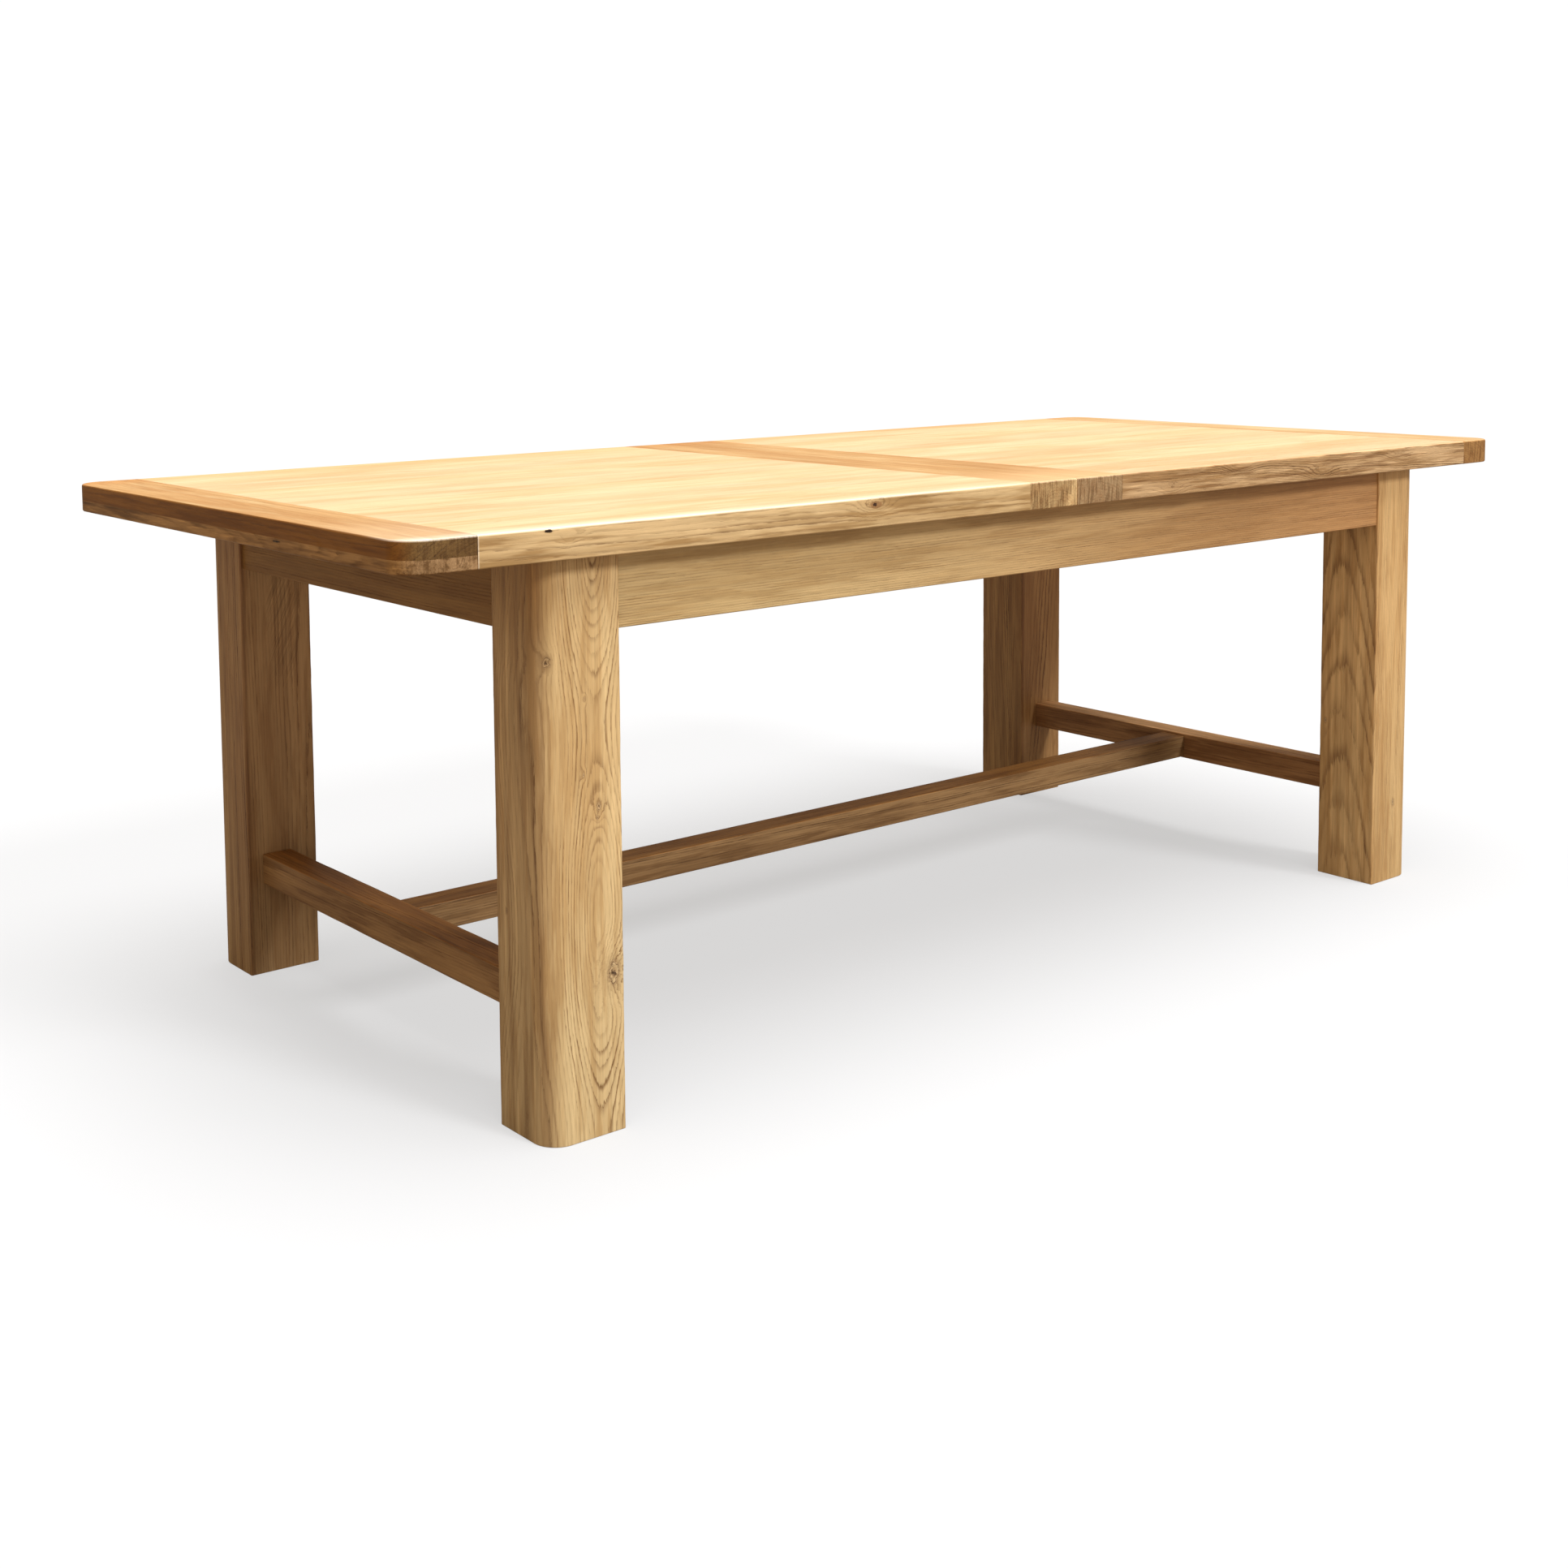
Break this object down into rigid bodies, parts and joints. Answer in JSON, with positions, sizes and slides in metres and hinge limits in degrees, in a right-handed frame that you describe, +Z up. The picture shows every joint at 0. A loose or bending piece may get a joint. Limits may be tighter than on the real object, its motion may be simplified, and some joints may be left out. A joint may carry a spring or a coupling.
{
  "type": "extendable dining table",
  "caption": "Rectangular wooden dining table with thick square legs and an H stretcher. The top parts across its middle and each half slides outwards on runners over the fixed frame.",
  "frame": {"origin": "on the floor, under the middle of the closed table", "axes": "+X along the length towards the right half, +Y across towards the back, +Z up"},
  "size_m": [2.28, 1, 0.78],
  "materials": {
    "oak_top": "satin oiled oak, long grain",
    "oak_cross_grain": "satin oiled oak, cross grain",
    "oak_frame": "satin oiled oak",
    "oak_stretcher": "darker satin oak",
    "beech": "bare beech",
    "zinc_steel": "zinc plated"
  },
  "bodies": {
    "frame": {"front_left_leg": "oak_frame", "back_left_leg": "oak_frame", "front_right_leg": "oak_frame", "back_right_leg": "oak_frame", "front_left_corner_brace": "beech", "back_left_corner_brace": "beech", "front_right_corner_brace": "beech", "back_right_corner_brace": "beech", "front_left_leg_bolt": "zinc_steel", "back_left_leg_bolt": "zinc_steel", "front_right_leg_bolt": "zinc_steel", "back_right_leg_bolt": "zinc_steel", "front_apron": "oak_frame", "back_apron": "oak_frame", "left_apron": "oak_frame", "right_apron": "oak_frame", "left_stretcher": "oak_stretcher", "right_stretcher": "oak_stretcher", "centre_stretcher": "oak_stretcher", "left_bearer": "beech", "middle_bearer": "beech", "right_bearer": "beech", "front_guide_rail": "beech", "back_guide_rail": "beech", "front_guide_fence": "beech", "back_guide_fence": "beech"},
    "left_top": {"left_end_board": "oak_cross_grain", "left_clamp_board": "oak_cross_grain", "left_top_board_1": "oak_top", "left_top_board_2": "oak_top", "left_top_board_3": "oak_top", "left_top_board_4": "oak_top", "left_top_board_5": "oak_top", "left_top_board_6": "oak_top", "left_top_board_7": "oak_top", "left_end_spline": "beech", "left_clamp_spline": "beech", "left_front_runner": "beech", "left_front_runner_stop": "beech", "left_back_runner": "beech", "left_back_runner_stop": "beech", "register_dowel_1": "beech", "register_dowel_2": "beech", "register_dowel_3": "beech"},
    "right_top": {"right_end_board": "oak_cross_grain", "right_clamp_board": "oak_cross_grain", "right_top_board_1": "oak_top", "right_top_board_2": "oak_top", "right_top_board_3": "oak_top", "right_top_board_4": "oak_top", "right_top_board_5": "oak_top", "right_top_board_6": "oak_top", "right_top_board_7": "oak_top", "right_end_spline": "beech", "right_clamp_spline": "beech", "right_front_runner": "beech", "right_front_runner_stop": "beech", "right_back_runner": "beech", "right_back_runner_stop": "beech"}
  },
  "joints": [
    {"name": "left_top_slide", "type": "slide", "parent": "frame", "child": "left_top", "axis": [-1, 0, 0], "range_m": [0, 0.225]},
    {"name": "right_top_slide", "type": "slide", "parent": "frame", "child": "right_top", "axis": [1, 0, 0], "range_m": [0, 0.225]}
  ]
}
